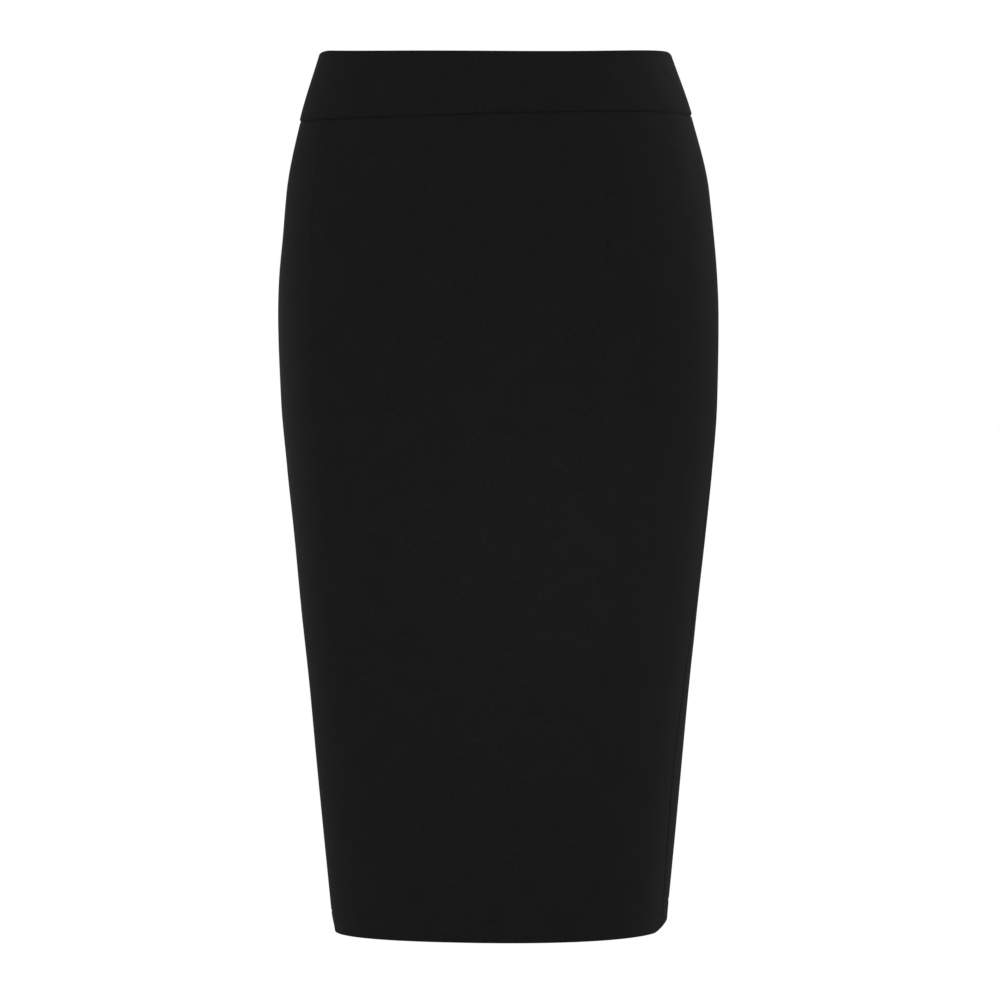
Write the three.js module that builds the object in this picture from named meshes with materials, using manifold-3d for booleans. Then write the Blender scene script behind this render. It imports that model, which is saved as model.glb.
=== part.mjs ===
// A knee-length pencil skirt, filled out as it is worn and hollow all the way through.
// It has a deep shaped waistband, darts, a turned hem, a concealed centre-back zip and a lapped vent.
// Millimetres, +Z up. The front faces -Y and the wearer's left is +X.
// The origin is the centre of the waist opening, level with the waistband's top edge at the front.
// A drop is a distance down from that edge. An angle is in degrees from the centre front, to the left.
// An inset is a distance in from the form that the skirt fills, so a negative inset stands proud.

import * as THREE from 'three';
import Module from 'manifold-3d';
import { mergeVertices } from 'three/addons/utils/BufferGeometryUtils.js';

// Driving dimensions
const LENGTH = 650.7;
const BAND_DEPTH = 46.4;
const CLOTH = 1.4;
const DOUBLED = 2.6;
const HEM_DEPTH = 15.8;
const SEAM_GAP = 0.3;

// The form, one row for each level: half the width, the centre's lean to the back, the depths in
// front of and behind that centre, how square each half is, and the side seam's angle
const FORM = [
  { drop: 0, half: 130.8, lean: -11.9, front: 98.2, back: 95.5, squareFront: 2.3, squareBack: 2.2, seam: 99 },
  { drop: 47, half: 146.6, lean: -8.3, front: 105, back: 102, squareFront: 2.35, squareBack: 2.2, seam: 99 },
  { drop: 102, half: 158.3, lean: -4.9, front: 114, back: 112.8, squareFront: 2.4, squareBack: 2.23, seam: 99.5 },
  { drop: 194, half: 164.1, lean: -4, front: 121.2, back: 127.5, squareFront: 2.45, squareBack: 2.24, seam: 100 },
  { drop: 256, half: 162.6, lean: -2, front: 120.3, back: 126.4, squareFront: 2.45, squareBack: 2.24, seam: 99.4 },
  { drop: 306, half: 158.5, lean: -0.5, front: 118.8, back: 124, squareFront: 2.45, squareBack: 2.25, seam: 98.5 },
  { drop: 356, half: 153.5, lean: -0.3, front: 116.7, back: 120.6, squareFront: 2.4, squareBack: 2.25, seam: 96.9 },
  { drop: 408, half: 147.9, lean: -1.4, front: 115, back: 117, squareFront: 2.4, squareBack: 2.25, seam: 95 },
  { drop: 468, half: 141, lean: -2.2, front: 113.3, back: 114.5, squareFront: 2.37, squareBack: 2.27, seam: 92.5 },
  { drop: 530, half: 134.5, lean: -3.3, front: 112.3, back: 112.8, squareFront: 2.35, squareBack: 2.3, seam: 91 },
  { drop: 651, half: 122.6, lean: -1.6, front: 110, back: 111, squareFront: 2.3, squareBack: 2.3, seam: 95 },
];

// Edges
const TOP_SLANT = 1.5;
const TOP_SIDE_RISE = 3;
const BAND_SLANT = 2.6;
const BAND_SIDE_FALL = 1.3;
const BAND_FALL_START = 72;
const BAND_FALL_SPAN = 25;
const HEM_SLANT = 0.8;
const HEM_BACK_RISE = 6.5;
const HEM_RISE_START = 86;
const HEM_RISE_SPAN = 19;
const BAND_PROUD = 0.8;
const BAND_ROLL = 1.3;
const BAND_SEAM_SINK = 0.9;
const HEM_ROLL = 1.2;
const HEM_DRAWN_IN = 1.2;
const ROLL_STEP = 0.45;

// Sunk lines: seams at a piece's edge, and the hem's stitched line
const SEAM_WIDTH = 1.5;
const SEAM_SINK = 0.35;
const HEM_LINE_WIDTH = 1;
const HEM_LINE_SINK = 0.3;

// Darts: the angle at the waistband's seam and at the point, and the length between them
const FRONT_DART = { top: 53, point: 50, length: 115 };
const BACK_DART = { top: 145, point: 147, length: 135 };
const DART_WIDTH = 1.3;
const DART_SINK = 0.7;

// Walking vent: the left back laps over an underlap that is cut in one with the right back
const VENT_TOP = 485;
const VENT_LEAD = 15;
const VENT_LIFT = 1.5;
const VENT_SINK = 1.45;
const FACING_WIDTH = 38;
const FACING_STEP = 7;
const LIFT_FADE = 45;
const SINK_START = 2;
const SINK_FADE = 18;
const UNDERLAP_WIDTH = 42;
const UNDERLAP_SHORT = 2;
const UNDERLAP_SHORT_ANGLE = 4;

// Concealed zip
const ZIP_TOP = 3;
const ZIP_END = 205;
const ZIP_INSET = 2.15;
const TAPE_HALF_WIDTH = 13;
const TAPE_THICK = 0.8;
const COIL_HALF_WIDTH = 1.5;
const COIL_THICK = 2.2;
const COIL_STEP = 0.7;
const SLOT_END = 13;
const NOTCH_HALF_WIDTH = 1.1;
const NOTCH_TOP = 3.5;
const NOTCH_END = 13.5;
const NOTCH_EASE = 2;

// Slider and pull tab, measured from the tab's hinge, which stands proud of the form
const HINGE_DROP = 8.5;
const HINGE_PROUD = 1.9;
const RING_INNER = 1.1;
const RING_OUTER = 2;
const NECK_HALF_WIDTH = 0.7;
const NECK_BOTTOM = -7.4;
const PLATE = { width: 7, top: 2.6, bottom: -9, near: -6.65, far: -8.3 };
const PULL_THICK = 1;
const PULL_LENGTH = 22;
const PULL_HEAD_HALF = 2.2;
const PULL_HEAD_BOTTOM = 3.6;
const PULL_WAIST_HALF = 1.7;
const PULL_WAIST = 8;
const PULL_TAIL_RADIUS = 2.8;
const PULL_WINDOW = { half: 1.2, near: 0.5, far: 2.8 };

// How many cells each stretch of a piece is divided into, across it and down it
const ACROSS = {
  sideToDart: 6,
  dartToDart: 16,
  dartToFacing: 2,
  facing: 3,
  underlap: 4,
  sink: 3,
  sinkToDart: 3,
  bandFront: 26,
  bandBack: 11,
};
const DOWN = { bandToDart: 5, dartToLead: 11, lead: 3, vent: 5, zip: 10 };

const wasm = await Module();
wasm.setup();

const radians = THREE.MathUtils.degToRad;
const degrees = THREE.MathUtils.radToDeg;
const clamp = THREE.MathUtils.clamp;
const mix = THREE.MathUtils.lerp;

function ease(share) {
  const s = clamp(share, 0, 1);
  return s * s * (3 - 2 * s);
}

// 1 on a line, falling evenly to 0 at the given distance from it
function nearness(distance, width) {
  return Math.max(0, 1 - Math.abs(distance) / width);
}

// How far a rounded edge has turned in, at a distance from that edge
function rollAt(distance, radius) {
  const rest = clamp(radius - distance, 0, radius);
  return radius - Math.sqrt(radius * radius - rest * rest);
}

// A smooth curve through one column of the form, which never overshoots its rows
function formCurve(key) {
  const steps = FORM.slice(1).map((row, k) => row.drop - FORM[k].drop);
  const slopes = steps.map((step, k) => (FORM[k + 1][key] - FORM[k][key]) / step);
  const tangents = FORM.map((row, k) => {
    if (k === 0) return slopes[0];
    if (k === slopes.length) return slopes[k - 1];
    const [before, after] = [slopes[k - 1], slopes[k]];
    return before * after <= 0 ? 0 : (2 * before * after) / (before + after);
  });
  return (drop) => {
    let k = 0;
    while (k < steps.length - 1 && drop > FORM[k + 1].drop) k += 1;
    const t = (drop - FORM[k].drop) / steps[k];
    const rise = FORM[k + 1][key] - FORM[k][key];
    const start = steps[k] * tangents[k];
    const end = steps[k] * tangents[k + 1];
    return FORM[k][key] + t * (start + t * (3 * rise - 2 * start - end + t * (start + end - 2 * rise)));
  };
}

const halfAt = formCurve('half');
const leanAt = formCurve('lean');
const frontAt = formCurve('front');
const backAt = formCurve('back');
const squareFrontAt = formCurve('squareFront');
const squareBackAt = formCurve('squareBack');
const seamAt = formCurve('seam');

// A point of the form, on a squared ellipse at its level
function formPoint(angle, drop) {
  const across = Math.sin(radians(angle));
  const ahead = Math.cos(radians(angle));
  const depth = ahead >= 0 ? frontAt(drop) : backAt(drop);
  const square = ahead >= 0 ? squareFrontAt(drop) : squareBackAt(drop);
  const sum = Math.abs(across / halfAt(drop)) ** square + Math.abs(ahead / depth) ** square;
  const radius = sum ** (-1 / square);
  return new THREE.Vector3(radius * across, leanAt(drop) - radius * ahead, -drop);
}

// The direction out of the form at a point
function formNormal(angle, drop) {
  const alongStep = 0.2;
  const downStep = 0.5;
  const along = formPoint(angle + alongStep, drop).sub(formPoint(angle - alongStep, drop));
  const down = formPoint(angle, drop + downStep).sub(formPoint(angle, drop - downStep));
  return down.cross(along).normalize();
}

function clothPoint(angle, drop, inset) {
  return formPoint(angle, drop).addScaledVector(formNormal(angle, drop), -inset);
}

// Edges of the pieces, as drops at an angle
function topDrop(angle) {
  const across = Math.sin(radians(angle));
  return TOP_SLANT * across - TOP_SIDE_RISE * across ** 6;
}

function bandSeamDrop(angle) {
  const fall = BAND_SIDE_FALL * ease((Math.abs(angle) - BAND_FALL_START) / BAND_FALL_SPAN);
  return BAND_DEPTH - BAND_SLANT * Math.sin(radians(angle)) + fall;
}

// From 0 on the front to 1 on the back, over a stretch on both sides of the side seam
function backShare(angle) {
  return ease((Math.abs(angle) - HEM_RISE_START) / HEM_RISE_SPAN);
}

function hemDrop(angle) {
  const rise = HEM_BACK_RISE * backShare(angle);
  const short = UNDERLAP_SHORT * ease((-180 - angle) / UNDERLAP_SHORT_ANGLE);
  return LENGTH - HEM_SLANT * Math.sin(radians(angle)) - rise - short;
}

// The angle that a distance along the cloth spans, near the side seam or near the centre back
function sideAngle(distance, drop) {
  return degrees(distance / halfAt(drop));
}

function backAngle(distance, drop) {
  return degrees(Math.atan(distance / backAt(drop)));
}

function dartAngle(dart, drop) {
  return mix(dart.top, dart.point, clamp((drop - BAND_DEPTH) / dart.length, 0, 1));
}

// Columns: each gives its angle at a drop
function leftSeam(distance) {
  return (drop) => seamAt(drop) + sideAngle(distance, drop);
}

function rightSeam(distance) {
  return (drop) => -seamAt(drop) - sideAngle(distance, drop);
}

function dartLine(dart, side, distance) {
  return (drop) => side * (dartAngle(dart, drop) + sideAngle(distance, drop));
}

// Distances from the centre back are measured to the wearer's right from 180 on the left back,
// and to the wearer's left from -180 on the right back
function leftBackLine(distance) {
  return (drop) => 180 - backAngle(distance, drop);
}

function rightBackLine(distance) {
  return (drop) => -180 + backAngle(distance, drop);
}

// The columns of one stretch, from its first line up to, and without, its last
function stretch(from, to, cells) {
  return Array.from({ length: cells }, (_, k) => (drop) => mix(from(drop), to(drop), k / cells));
}

// Three columns for the bottom and the sides of a dart's line
function dartColumns(dart, side) {
  return [-DART_WIDTH, 0, DART_WIDTH].map((distance) => dartLine(dart, side, side * distance));
}

// The half gap at the centre back, opened round the slider's neck
function centreGap(drop) {
  const opened = Math.min((drop - NOTCH_TOP) / NOTCH_EASE, (NOTCH_END - drop) / NOTCH_EASE);
  return mix(SEAM_GAP / 2, NOTCH_HALF_WIDTH, clamp(opened, 0, 1));
}

function leftBackEdge(drop) {
  return 180 - backAngle(centreGap(drop), drop);
}

function rightBackEdge(drop) {
  return -180 + backAngle(centreGap(drop), drop);
}

const HALF_GAP = SEAM_GAP / 2;

function frontColumns() {
  const [rightOuter, rightDart, rightInner] = dartColumns(FRONT_DART, -1);
  const [leftInner, leftDart, leftOuter] = dartColumns(FRONT_DART, 1);
  return [
    rightSeam(-HALF_GAP),
    ...stretch(rightSeam(-SEAM_WIDTH), rightOuter, ACROSS.sideToDart),
    rightOuter,
    rightDart,
    ...stretch(rightInner, leftInner, ACROSS.dartToDart),
    leftInner,
    leftDart,
    ...stretch(leftOuter, leftSeam(-SEAM_WIDTH), ACROSS.sideToDart),
    leftSeam(-SEAM_WIDTH),
    leftSeam(-HALF_GAP),
  ];
}

function leftBackColumns() {
  const [near, dart, far] = dartColumns(BACK_DART, 1);
  const facingEnd = leftBackLine(FACING_WIDTH + FACING_STEP);
  return [
    leftSeam(HALF_GAP),
    ...stretch(leftSeam(SEAM_WIDTH), near, ACROSS.sideToDart),
    near,
    dart,
    ...stretch(far, facingEnd, ACROSS.dartToFacing),
    facingEnd,
    ...stretch(leftBackLine(FACING_WIDTH), leftBackLine(SEAM_WIDTH), ACROSS.facing),
    leftBackLine(SEAM_WIDTH),
    leftBackEdge,
  ];
}

// The underlap's columns come first, and only the vent's rows have cloth there
function rightBackColumns() {
  const [far, dart, near] = dartColumns(BACK_DART, -1);
  const sinkEnd = rightBackLine(SINK_START + SINK_FADE);
  return [
    ...stretch(rightBackLine(-UNDERLAP_WIDTH), rightBackLine(-SINK_START), ACROSS.underlap - 1),
    rightBackLine(-SINK_START),
    rightBackEdge,
    ...stretch(rightBackLine(SINK_START), sinkEnd, ACROSS.sink),
    ...stretch(sinkEnd, far, ACROSS.sinkToDart),
    far,
    dart,
    ...stretch(near, rightSeam(SEAM_WIDTH), ACROSS.sideToDart),
    rightSeam(SEAM_WIDTH),
    rightSeam(HALF_GAP),
  ];
}

// Rows: each gives its drop at an angle
function bandSeamLine(distance) {
  return (angle) => bandSeamDrop(angle) + distance;
}

function hemLine(distance) {
  return (angle) => hemDrop(angle) - distance;
}

function level(drop) {
  return () => drop;
}

// Every panel has the same rows, so that their edges meet along the seams
const DART_ROW = level(BAND_DEPTH + FRONT_DART.length);
const LEAD_ROW = level(VENT_TOP - VENT_LEAD);
const VENT_ROW = level(VENT_TOP);
const ROWS_ABOVE_VENT = [
  bandSeamLine(HALF_GAP),
  ...stretch(bandSeamLine(SEAM_WIDTH), DART_ROW, DOWN.bandToDart),
  ...stretch(DART_ROW, LEAD_ROW, DOWN.dartToLead),
  ...stretch(LEAD_ROW, VENT_ROW, DOWN.lead),
];
const VENT_ROWS = [
  ...stretch(VENT_ROW, hemLine(HEM_DEPTH + HEM_LINE_WIDTH), DOWN.vent),
  hemLine(HEM_DEPTH + HEM_LINE_WIDTH),
  hemLine(HEM_DEPTH),
  hemLine(HEM_DEPTH - HEM_LINE_WIDTH),
  hemLine(HEM_ROLL),
  hemLine(ROLL_STEP),
  hemLine(0),
];
const PANEL_ROWS = [...ROWS_ABOVE_VENT, ...VENT_ROWS];

function bandRows(middleDrops) {
  return [
    topDrop,
    (angle) => topDrop(angle) + ROLL_STEP,
    (angle) => topDrop(angle) + BAND_ROLL,
    ...middleDrops.map(level),
    bandSeamLine(-SEAM_WIDTH),
    bandSeamLine(-HALF_GAP),
  ];
}

const FRONT_BAND_ROWS = bandRows([12, 23, 34]);
const NOTCH_DROPS = [NOTCH_TOP, NOTCH_TOP + NOTCH_EASE, NOTCH_END - NOTCH_EASE, NOTCH_END];
const BACK_BAND_ROWS = bandRows([...NOTCH_DROPS, 24, 34]);

// A wall of cloth over a grid of cells: an outer and an inner skin, and a rim wherever a cell has no
// neighbour. The skins are given as insets at an angle and a drop.
function clothWall(columns, rows, skinsAt, hasCell = () => true) {
  const positions = [];
  const triangles = [];
  const corners = new Map();

  function corner(column, row) {
    const key = `${column} ${row}`;
    if (!corners.has(key)) {
      const nearAngle = columns[column](rows[row](0));
      const drop = rows[row](nearAngle);
      const angle = columns[column](drop);
      const { outer, inner } = skinsAt(angle, drop);
      corners.set(key, positions.length / 3);
      positions.push(...clothPoint(angle, drop, outer).toArray());
      positions.push(...clothPoint(angle, drop, inner).toArray());
    }
    return corners.get(key);
  }

  function isCell(column, row) {
    const inside = column >= 0 && column < columns.length - 1 && row >= 0 && row < rows.length - 1;
    return inside && hasCell(column, row);
  }

  function quad(a, b, c, d) {
    triangles.push(a, b, c, a, c, d);
  }

  for (let row = 0; row < rows.length - 1; row += 1) {
    for (let column = 0; column < columns.length - 1; column += 1) {
      if (!isCell(column, row)) continue;
      const loop = [
        corner(column, row),
        corner(column, row + 1),
        corner(column + 1, row + 1),
        corner(column + 1, row),
      ];
      const beside = [
        isCell(column - 1, row),
        isCell(column, row + 1),
        isCell(column + 1, row),
        isCell(column, row - 1),
      ];
      const [a, b, c, d] = loop;
      quad(a, b, c, d);
      quad(d + 1, c + 1, b + 1, a + 1);
      beside.forEach((neighbour, k) => {
        const from = loop[k];
        const to = loop[(k + 1) % 4];
        if (!neighbour) quad(to, from, from + 1, to + 1);
      });
    }
  }
  const geometry = new THREE.BufferGeometry();
  geometry.setAttribute('position', new THREE.Float32BufferAttribute(positions, 3));
  geometry.setIndex(triangles);
  geometry.computeVertexNormals();
  return geometry;
}

// How far a seam's edge has sunk, from 1 at the edge to 0 where the cloth lies flat
function creaseAt(distance) {
  return nearness(Math.max(0, Math.abs(distance) - HALF_GAP), SEAM_WIDTH - HALF_GAP);
}

function fromSideSeam(angle, drop) {
  return radians(Math.abs(angle) - seamAt(drop)) * halfAt(drop);
}

// The distance from the centre back of a point on the left back, and of one on the right back
function fromCentreLeft(angle, drop) {
  return backAt(drop) * Math.tan(radians(180 - angle));
}

function fromCentreRight(angle, drop) {
  return backAt(drop) * Math.tan(radians(180 + angle));
}

// How deep a dart's line is at a point, from 1 at the waistband to 0 at the dart's point
function dartDepth(dart, angle, drop) {
  const distance = radians(Math.abs(angle) - dartAngle(dart, drop)) * halfAt(drop);
  const share = clamp(1 - (drop - BAND_DEPTH) / dart.length, 0, 1);
  return Math.sqrt(share) * nearness(distance, DART_WIDTH);
}

// The skins that every panel shares; fromCentre is the distance from the centre back, if there is one
function panelSkins(dart, angle, drop, fromCentre = Infinity, faced = 0) {
  const fromHem = hemDrop(angle) - drop;
  const roll = rollAt(fromHem, HEM_ROLL);
  const drawn = HEM_DRAWN_IN * ease(1 - fromHem / HEM_DEPTH) * (1 - backShare(angle));
  const turned = clamp((HEM_DEPTH + HEM_LINE_WIDTH - fromHem) / HEM_LINE_WIDTH, 0, 1);
  const depth = dartDepth(dart, angle, drop);
  const creases = [drop - bandSeamDrop(angle), fromSideSeam(angle, drop), fromCentre].map(creaseAt);
  const sunk = Math.max(
    SEAM_SINK * Math.max(...creases),
    HEM_LINE_SINK * nearness(fromHem - HEM_DEPTH, HEM_LINE_WIDTH),
    DART_SINK * depth,
  );
  return {
    outer: sunk + roll + drawn,
    inner: mix(CLOTH, DOUBLED, Math.max(turned, depth, faced)) - roll + drawn,
  };
}

function shifted(skins, inset) {
  return { outer: skins.outer + inset, inner: skins.inner + inset };
}

// From 0 above the vent to 1 where its two layers lie on each other
function lapAt(drop) {
  return ease((drop - VENT_TOP + VENT_LEAD) / VENT_LEAD);
}

function frontSkins(angle, drop) {
  return panelSkins(FRONT_DART, angle, drop);
}

function leftBackSkins(angle, drop) {
  const away = fromCentreLeft(angle, drop);
  const facingEnd = FACING_WIDTH + FACING_STEP;
  const faced = lapAt(drop) * clamp((facingEnd - away) / FACING_STEP, 0, 1);
  const lift = VENT_LIFT * lapAt(drop) * (1 - ease((away - facingEnd) / LIFT_FADE));
  return shifted(panelSkins(BACK_DART, angle, drop, away, faced), -lift);
}

function rightBackSkins(angle, drop) {
  const away = fromCentreRight(angle, drop);
  const sink = VENT_SINK * lapAt(drop) * (1 - ease((away - SINK_START) / SINK_FADE));
  return shifted(panelSkins(BACK_DART, angle, drop, away), sink);
}

function bandSkins(angle, drop, fromCentre = Infinity) {
  const roll = rollAt(drop - topDrop(angle), BAND_ROLL);
  const sides = SEAM_SINK * Math.max(creaseAt(fromSideSeam(angle, drop)), creaseAt(fromCentre));
  const bottom = BAND_SEAM_SINK * creaseAt(bandSeamDrop(angle) - drop);
  return {
    outer: roll + Math.max(sides, bottom) - BAND_PROUD,
    inner: DOUBLED - roll - BAND_PROUD,
  };
}

function leftBandSkins(angle, drop) {
  return bandSkins(angle, drop, fromCentreLeft(angle, drop));
}

function rightBandSkins(angle, drop) {
  return bandSkins(angle, drop, fromCentreRight(angle, drop));
}

function frontBandColumns() {
  return [
    rightSeam(-HALF_GAP),
    ...stretch(rightSeam(-SEAM_WIDTH), leftSeam(-SEAM_WIDTH), ACROSS.bandFront),
    leftSeam(-SEAM_WIDTH),
    leftSeam(-HALF_GAP),
  ];
}

// The last column clears the slider's neck, so the one before it stands just outside that notch
const BESIDE_NOTCH = NOTCH_HALF_WIDTH + SEAM_WIDTH;

function leftBandColumns() {
  return [
    leftSeam(HALF_GAP),
    ...stretch(leftSeam(SEAM_WIDTH), leftBackLine(BESIDE_NOTCH), ACROSS.bandBack),
    leftBackLine(BESIDE_NOTCH),
    leftBackEdge,
  ];
}

function rightBandColumns() {
  return [
    rightBackEdge,
    ...stretch(rightBackLine(BESIDE_NOTCH), rightSeam(SEAM_WIDTH), ACROSS.bandBack),
    rightSeam(SEAM_WIDTH),
    rightSeam(HALF_GAP),
  ];
}

// The zip's tapes and closed coil, with a slot at the top for the slider's neck
function zipTape() {
  const step = COIL_HALF_WIDTH + COIL_STEP;
  const distances = [-TAPE_HALF_WIDTH, -step, -COIL_HALF_WIDTH, COIL_HALF_WIDTH, step, TAPE_HALF_WIDTH];
  const columns = distances.map((distance) => (drop) => 180 + backAngle(distance, drop));
  const rows = [level(ZIP_TOP), ...stretch(level(SLOT_END), level(ZIP_END), DOWN.zip), level(ZIP_END)];
  const coilCell = distances.indexOf(-COIL_HALF_WIDTH);
  const skinsAt = (angle, drop) => {
    const away = Math.abs(fromCentreLeft(angle, drop));
    const coil = clamp((step - away) / COIL_STEP, 0, 1);
    return { outer: ZIP_INSET, inner: ZIP_INSET + mix(TAPE_THICK, COIL_THICK, coil) };
  };
  return clothWall(columns, rows, skinsAt, (column, row) => column !== coilCell || row > 0);
}

// Hard pieces are drawn round the tab's hinge, then set on the centre back
const HINGE = clothPoint(180, HINGE_DROP, -HINGE_PROUD);
const OUT = formNormal(180, HINGE_DROP);
const SIDE = new THREE.Vector3(1, 0, 0);
const UP = SIDE.clone().cross(OUT);

function setOnBack(geometry, xAxis, yAxis) {
  const zAxis = xAxis.clone().cross(yAxis);
  const place = new THREE.Matrix4().makeBasis(xAxis, yAxis, zAxis).setPosition(HINGE);
  return geometry.applyMatrix4(place);
}

function toManifold(geometry) {
  geometry.deleteAttribute('normal');
  geometry.deleteAttribute('uv');
  const merged = mergeVertices(geometry);
  return new wasm.Manifold(
    new wasm.Mesh({
      numProp: 3,
      vertProperties: new Float32Array(merged.attributes.position.array),
      triVerts: new Uint32Array(merged.index.array),
    }),
  );
}

function fromManifold(manifold) {
  const mesh = manifold.getMesh();
  const geometry = new THREE.BufferGeometry();
  geometry.setAttribute('position', new THREE.Float32BufferAttribute(mesh.vertProperties, 3));
  geometry.setIndex(Array.from(mesh.triVerts));
  geometry.computeVertexNormals();
  return geometry;
}

// A slab of a flat outline, centred on its own plane
function slab(shape, thickness) {
  const settings = { depth: thickness, bevelEnabled: false, curveSegments: 8 };
  return new THREE.ExtrudeGeometry(shape, settings).translate(0, 0, -thickness / 2);
}

// The slider: a plate behind the coil, and a neck that ends in a ring outside the cloth
function zipSlider() {
  const neck = new THREE.Shape();
  neck.moveTo(NECK_BOTTOM, -RING_OUTER);
  neck.lineTo(0, -RING_OUTER);
  neck.absarc(0, 0, RING_OUTER, -Math.PI / 2, Math.PI / 2);
  neck.lineTo(NECK_BOTTOM, RING_OUTER);
  neck.closePath();
  neck.holes.push(new THREE.Path().absarc(0, 0, RING_INNER, 0, 2 * Math.PI, true));
  const depth = PLATE.near - PLATE.far;
  const height = PLATE.top - PLATE.bottom;
  const plate = new THREE.BoxGeometry(depth, height, PLATE.width);
  plate.translate((PLATE.near + PLATE.far) / 2, (PLATE.top + PLATE.bottom) / 2, 0);
  const joined = toManifold(slab(neck, 2 * NECK_HALF_WIDTH)).add(toManifold(plate));
  return setOnBack(fromManifold(joined), OUT, UP);
}

// The pull tab: a bar through the slider's ring, two arms round it and a drop-shaped tail
function zipPull() {
  const tailCentre = PULL_TAIL_RADIUS - PULL_LENGTH;
  const barTop = PULL_WINDOW.near;
  const tab = new THREE.Shape();
  tab.moveTo(PULL_HEAD_HALF, barTop);
  tab.lineTo(-PULL_HEAD_HALF, barTop);
  tab.lineTo(-PULL_HEAD_HALF, -PULL_HEAD_BOTTOM);
  tab.lineTo(-PULL_WAIST_HALF, -PULL_WAIST);
  tab.absarc(0, tailCentre, PULL_TAIL_RADIUS, Math.PI, 2 * Math.PI);
  tab.lineTo(PULL_WAIST_HALF, -PULL_WAIST);
  tab.lineTo(PULL_HEAD_HALF, -PULL_HEAD_BOTTOM);
  tab.closePath();
  const { half, near, far } = PULL_WINDOW;
  const window = new THREE.Path();
  window.moveTo(-half, -near);
  window.lineTo(half, -near);
  window.lineTo(half, -far);
  window.lineTo(-half, -far);
  window.closePath();
  tab.holes.push(window);
  return setOnBack(slab(tab, PULL_THICK), SIDE, UP);
}

const clothLook = { color: '#1a1a1b', roughness: 0.92, metalness: 0 };
const tapeLook = { color: '#151516', roughness: 0.85, metalness: 0 };
const metalLook = { color: '#232325', roughness: 0.42, metalness: 0.7 };

function part(name, geometry, look) {
  const mesh = new THREE.Mesh(geometry, new THREE.MeshStandardMaterial(look));
  mesh.name = name;
  return mesh;
}

function ventCell(column, row) {
  return column >= ACROSS.underlap || row >= ROWS_ABOVE_VENT.length;
}

const skirt = new THREE.Group();
skirt.add(
  part('front_panel', clothWall(frontColumns(), PANEL_ROWS, frontSkins), clothLook),
  part('back_panel_left', clothWall(leftBackColumns(), PANEL_ROWS, leftBackSkins), clothLook),
  part('back_panel_right', clothWall(rightBackColumns(), PANEL_ROWS, rightBackSkins, ventCell), clothLook),
  part('waistband_front', clothWall(frontBandColumns(), FRONT_BAND_ROWS, bandSkins), clothLook),
  part('waistband_back_left', clothWall(leftBandColumns(), BACK_BAND_ROWS, leftBandSkins), clothLook),
  part('waistband_back_right', clothWall(rightBandColumns(), BACK_BAND_ROWS, rightBandSkins), clothLook),
  part('zip_tape', zipTape(), tapeLook),
  part('zip_slider', zipSlider(), metalLook),
  part('zip_pull', zipPull(), metalLook),
);

export default skirt;
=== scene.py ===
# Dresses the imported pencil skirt: cloth with its seams, darts, hem and stitches, the concealed zip,
# materials, a pale floor, soft light and the camera. Metres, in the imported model's own frame: +Z up,
# the front faces -Y and the wearer's left is +X. Lengths whose name ends in MM are in millimetres.
# A drop is a distance down from the waistband's top edge. An angle is in degrees from the centre front.
# An inset is a distance in from the form that the skirt fills, so a negative inset stands proud.

import math

import bpy
import numpy as np
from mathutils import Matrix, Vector


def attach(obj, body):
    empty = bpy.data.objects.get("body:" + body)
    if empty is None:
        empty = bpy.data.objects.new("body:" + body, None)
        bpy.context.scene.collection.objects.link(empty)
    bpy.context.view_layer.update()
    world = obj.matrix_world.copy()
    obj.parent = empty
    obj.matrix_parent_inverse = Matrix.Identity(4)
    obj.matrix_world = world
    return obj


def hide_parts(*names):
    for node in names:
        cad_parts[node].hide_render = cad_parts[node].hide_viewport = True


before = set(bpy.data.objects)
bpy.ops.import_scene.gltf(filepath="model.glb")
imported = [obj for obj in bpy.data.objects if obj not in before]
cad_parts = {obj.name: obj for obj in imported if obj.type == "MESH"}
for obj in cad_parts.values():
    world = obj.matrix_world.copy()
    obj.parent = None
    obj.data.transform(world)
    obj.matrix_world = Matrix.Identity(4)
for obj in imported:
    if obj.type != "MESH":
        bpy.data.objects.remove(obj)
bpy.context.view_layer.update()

# The form, one row for each level: half the width, the centre's lean to the back, the depths in
# front of and behind that centre, how square each half is, and the side seam's angle
FORM_COLUMNS = ("drop", "half", "lean", "front", "back", "square_front", "square_back", "seam")
FORM_ROWS = [
    (0, 130.8, -11.9, 98.2, 95.5, 2.3, 2.2, 99),
    (47, 146.6, -8.3, 105, 102, 2.35, 2.2, 99),
    (102, 158.3, -4.9, 114, 112.8, 2.4, 2.23, 99.5),
    (194, 164.1, -4, 121.2, 127.5, 2.45, 2.24, 100),
    (256, 162.6, -2, 120.3, 126.4, 2.45, 2.24, 99.4),
    (306, 158.5, -0.5, 118.8, 124, 2.45, 2.25, 98.5),
    (356, 153.5, -0.3, 116.7, 120.6, 2.4, 2.25, 96.9),
    (408, 147.9, -1.4, 115, 117, 2.4, 2.25, 95),
    (468, 141, -2.2, 113.3, 114.5, 2.37, 2.27, 92.5),
    (530, 134.5, -3.3, 112.3, 112.8, 2.35, 2.3, 91),
    (651, 122.6, -1.6, 110, 111, 2.3, 2.3, 95),
]

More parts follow.
